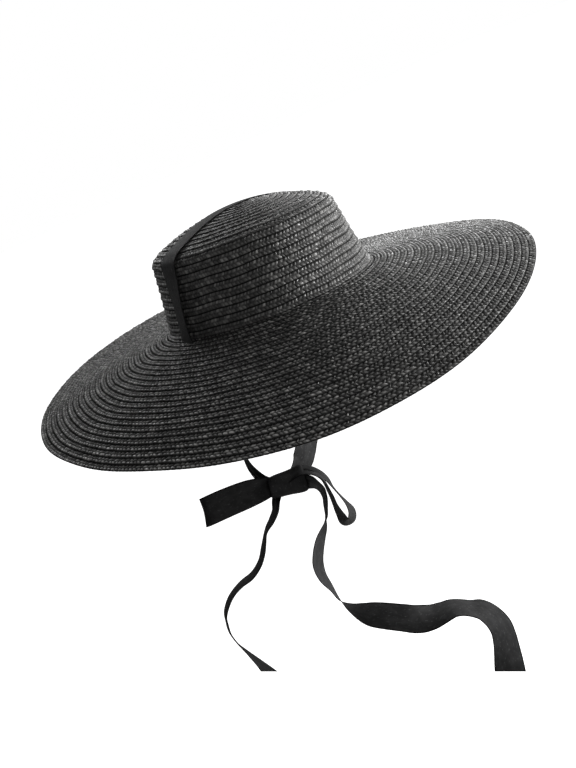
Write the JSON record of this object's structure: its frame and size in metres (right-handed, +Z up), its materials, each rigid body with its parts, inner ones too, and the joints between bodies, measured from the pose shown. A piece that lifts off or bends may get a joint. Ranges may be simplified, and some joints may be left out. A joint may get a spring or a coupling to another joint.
{
  "type": "wide brim straw hat",
  "caption": "Wide brim hat of sewn black straw braid with a low domed crown, a ribbon over the crown and ribbon ties in a bow below the brim.",
  "frame": {"origin": "middle of the head opening, in the plane where crown and brim meet", "axes": "+Z up along the crown's axis, X from ear to ear along the ribbon, -Y towards the drooping back of the brim"},
  "size_m": [0.4299, 0.4552, 0.4359],
  "materials": {
    "straw": "sewn plaited straw, dyed black, slight sheen",
    "ribbon": "matte woven ribbon, black"
  },
  "bodies": {
    "root": {"crown": "straw", "brim": "straw", "crown_ribbon": "ribbon", "chin_tie_left": "ribbon", "chin_tie_right": "ribbon", "bow_knot": "ribbon", "bow_loop_left": "ribbon", "bow_loop_right": "ribbon", "tail_left": "ribbon", "tail_right": "ribbon"}
  },
  "joints": []
}
